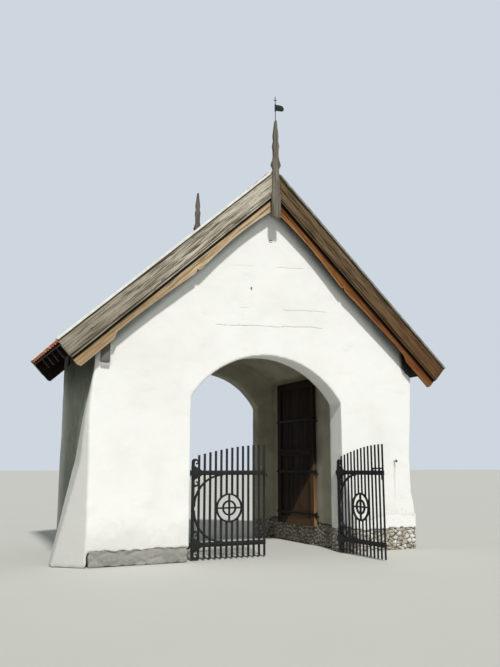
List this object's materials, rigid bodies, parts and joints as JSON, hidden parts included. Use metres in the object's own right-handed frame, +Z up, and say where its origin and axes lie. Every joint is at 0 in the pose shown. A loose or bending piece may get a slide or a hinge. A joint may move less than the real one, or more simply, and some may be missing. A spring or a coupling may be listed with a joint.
{
  "type": "lychgate",
  "caption": "Whitewashed masonry gatehouse with an arched vaulted passage, a steep tiled roof with sawn bargeboards, iron gates and plank doors.",
  "frame": {"origin": "on the lowest ground, in the passage on the ridge's centre line, in the middle of the whole object's plan at rest", "axes": "+Z up, +X to the right along the front, +Y into the passage from the front gates"},
  "size_m": [6.646, 4.3702, 7.32],
  "materials": {
    "plaster": "limewashed lime plaster, matt and slightly uneven",
    "stone": "rubble stone with grey mortar",
    "clay": "weathered orange clay pantiles, matt",
    "weathered_timber": "weathered tarred softwood boards",
    "sawn_boards": "sawn softwood boards with an oiled finish",
    "roof_timber": "dark softwood, matt",
    "door_timber": "dark tarred planks",
    "capping": "grey weathered capping boards",
    "iron": "black painted wrought iron, satin"
  },
  "bodies": {
    "building": {"left_plinth": "stone", "right_plinth": "stone", "front_wall_left": "plaster", "front_wall_right": "plaster", "front_gable": "plaster", "rear_wall_left": "plaster", "rear_wall_right": "plaster", "rear_gable": "plaster", "left_side_wall": "plaster", "right_side_wall": "plaster", "passage_vault": "plaster", "left_buttress": "plaster", "left_wall_plate": "roof_timber", "right_wall_plate": "roof_timber", "rafters": "roof_timber", "left_roof_boards": "roof_timber", "right_roof_boards": "roof_timber", "left_roof_tiles": "clay", "right_roof_tiles": "clay", "ridge_tiles": "clay", "front_left_bargeboard": "weathered_timber", "front_right_bargeboard": "weathered_timber", "rear_left_bargeboard": "weathered_timber", "rear_right_bargeboard": "weathered_timber", "front_scalloped_boards": "sawn_boards", "rear_scalloped_boards": "sawn_boards", "front_verge_cap": "capping", "rear_verge_cap": "capping", "front_finial": "weathered_timber", "rear_finial": "weathered_timber", "vane_rod": "iron", "left_hinge_pins": "iron", "right_hinge_pins": "iron", "wall_hook": "iron"},
    "left_gate": {"left_gate_leaf": "iron", "left_gate_wheel": "iron", "left_gate_straps": "iron", "left_gate_latch": "iron"},
    "right_gate": {"right_gate_leaf": "iron", "right_gate_wheel": "iron", "right_gate_straps": "iron", "right_gate_latch": "iron"},
    "left_door": {"left_door_leaf": "door_timber", "left_door_straps": "iron"},
    "right_door": {"right_door_leaf": "door_timber", "right_door_straps": "iron"},
    "vane": {"weather_vane": "iron"}
  },
  "joints": [
    {"name": "left_gate_hinge", "type": "hinge", "parent": "building", "child": "left_gate", "pos_m": [-1.258, -0.935, 0], "axis": [0, 0, 1], "range_deg": [-97, 0]},
    {"name": "right_gate_hinge", "type": "hinge", "parent": "building", "child": "right_gate", "pos_m": [1.258, -0.935, 0], "axis": [0, 0, 1], "range_deg": [-91, 6]},
    {"name": "left_door_hinge", "type": "hinge", "parent": "building", "child": "left_door", "pos_m": [-1.37, -0.095, 0], "axis": [0, 0, 1], "range_deg": [-90, 0]},
    {"name": "right_door_hinge", "type": "hinge", "parent": "building", "child": "right_door", "pos_m": [1.37, -0.095, 0], "axis": [0, 0, 1], "range_deg": [0, 90]},
    {"name": "vane_spin", "type": "hinge", "parent": "building", "child": "vane", "pos_m": [0, -1.285, 7.09], "axis": [0, 0, 1], "continuous": true}
  ]
}
